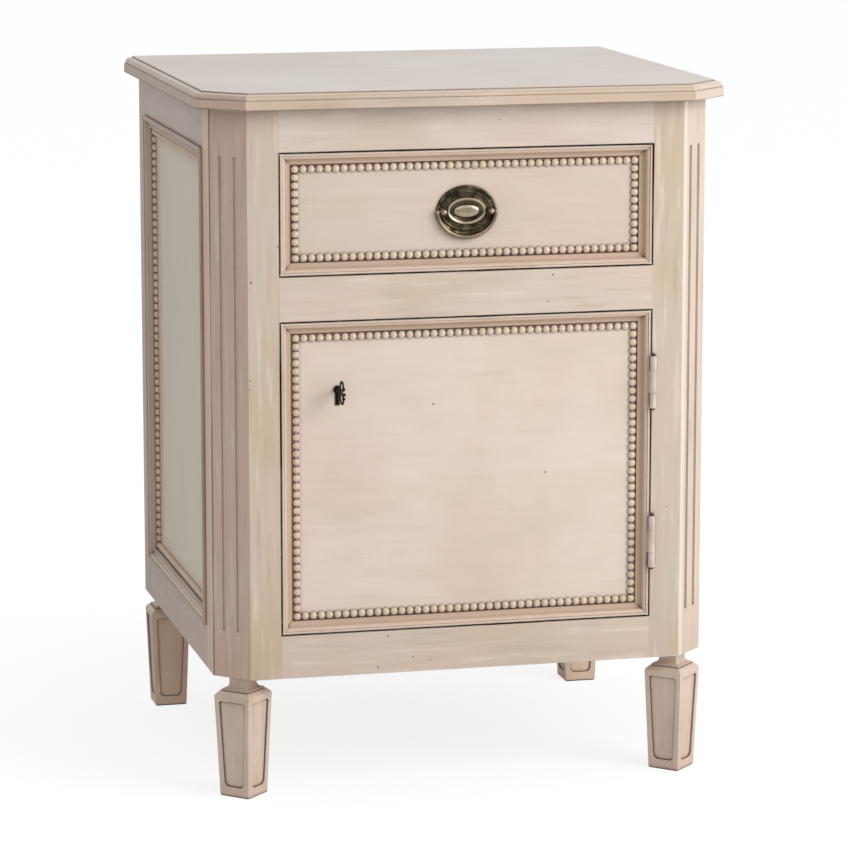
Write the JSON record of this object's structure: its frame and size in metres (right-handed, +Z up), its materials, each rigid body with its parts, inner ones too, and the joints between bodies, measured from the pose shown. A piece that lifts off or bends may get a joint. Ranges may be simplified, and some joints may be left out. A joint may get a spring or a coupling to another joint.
{
  "type": "bedside pot cupboard",
  "caption": "Painted bedside cupboard with canted, fluted corners on square tapered legs: a drawer with an oval bail pull over a beaded door with a lock and key.",
  "frame": {"origin": "on the floor, under the middle of the bounding box", "axes": "+Z up, the front with drawer and door faces -Y, +X to the right as seen from the front"},
  "size_m": [0.58, 0.497, 0.763],
  "materials": {
    "painted_wood": "brushed off-white paint under a brown glaze, satin",
    "bare_wood": "bare sanded softwood, matt",
    "old_brass": "dark antique brass, worn on the raised parts",
    "dark_iron": "dark bronzed steel, satin",
    "painted_steel": "painted over with the case, satin"
  },
  "bodies": {
    "cabinet": {"top_slab": "painted_wood", "front_left_post": "painted_wood", "front_right_post": "painted_wood", "back_left_post": "painted_wood", "back_right_post": "painted_wood", "front_top_rail": "painted_wood", "front_middle_rail": "painted_wood", "front_bottom_rail": "painted_wood", "left_top_rail": "painted_wood", "left_bottom_rail": "painted_wood", "right_top_rail": "painted_wood", "right_bottom_rail": "painted_wood", "back_top_rail": "bare_wood", "back_middle_rail": "bare_wood", "back_bottom_rail": "bare_wood", "left_panel": "painted_wood", "right_panel": "painted_wood", "left_moulding": "painted_wood", "right_moulding": "painted_wood", "left_beads": "painted_wood", "right_beads": "painted_wood", "back_boards": "bare_wood", "bottom_board": "bare_wood", "bottom_battens": "bare_wood", "top_blocks": "bare_wood", "left_runner": "bare_wood", "right_runner": "bare_wood", "drawer_guides": "bare_wood", "drawer_kickers": "bare_wood", "dust_board": "bare_wood", "drawer_stops": "bare_wood", "door_stops": "bare_wood", "front_left_leg": "painted_wood", "front_right_leg": "painted_wood", "back_left_leg": "painted_wood", "back_right_leg": "painted_wood", "hinge_frame_leaves": "painted_steel", "hinge_pins": "painted_steel", "hinge_frame_screws": "dark_iron"},
    "drawer": {"drawer_front": "painted_wood", "drawer_moulding": "painted_wood", "drawer_beads": "painted_wood", "drawer_left_side": "bare_wood", "drawer_right_side": "bare_wood", "drawer_back": "bare_wood", "drawer_bottom": "bare_wood", "pull_plate": "old_brass", "pull_posts": "old_brass", "pull_nuts": "old_brass"},
    "bail": {"pull_bail": "old_brass"},
    "door": {"door_board": "painted_wood", "door_moulding": "painted_wood", "door_beads": "painted_wood", "hinge_door_leaves": "painted_steel", "hinge_door_screws": "dark_iron", "lock_case": "dark_iron", "lock_screws": "dark_iron", "escutcheon": "dark_iron"},
    "key": {"key": "dark_iron"},
    "bolt": {"lock_bolt": "dark_iron"}
  },
  "joints": [
    {"name": "drawer_slide", "type": "slide", "parent": "cabinet", "child": "drawer", "axis": [0, -1, 0], "range_m": [0, 0.3]},
    {"name": "bail_swing", "type": "hinge", "parent": "drawer", "child": "bail", "pos_m": [0, -0.2164, 0.63075], "axis": [-1, 0, 0], "range_deg": [0, 95]},
    {"name": "door_swing", "type": "hinge", "parent": "cabinet", "child": "door", "pos_m": [0.2057, -0.2255, 0.352], "axis": [0, 0, 1], "range_deg": [0, 165]},
    {"name": "key_turn", "type": "hinge", "parent": "door", "child": "key", "pos_m": [-0.141, -0.2, 0.4435], "axis": [0, 1, 0], "range_deg": [0, 180]},
    {"name": "bolt_slide", "type": "slide", "parent": "door", "child": "bolt", "axis": [-1, 0, 0], "range_m": [0, 0.009]}
  ],
  "couplings": [
    {"joint": "key_turn", "follows": "bolt_slide", "rad_per_m": 349.06}
  ]
}
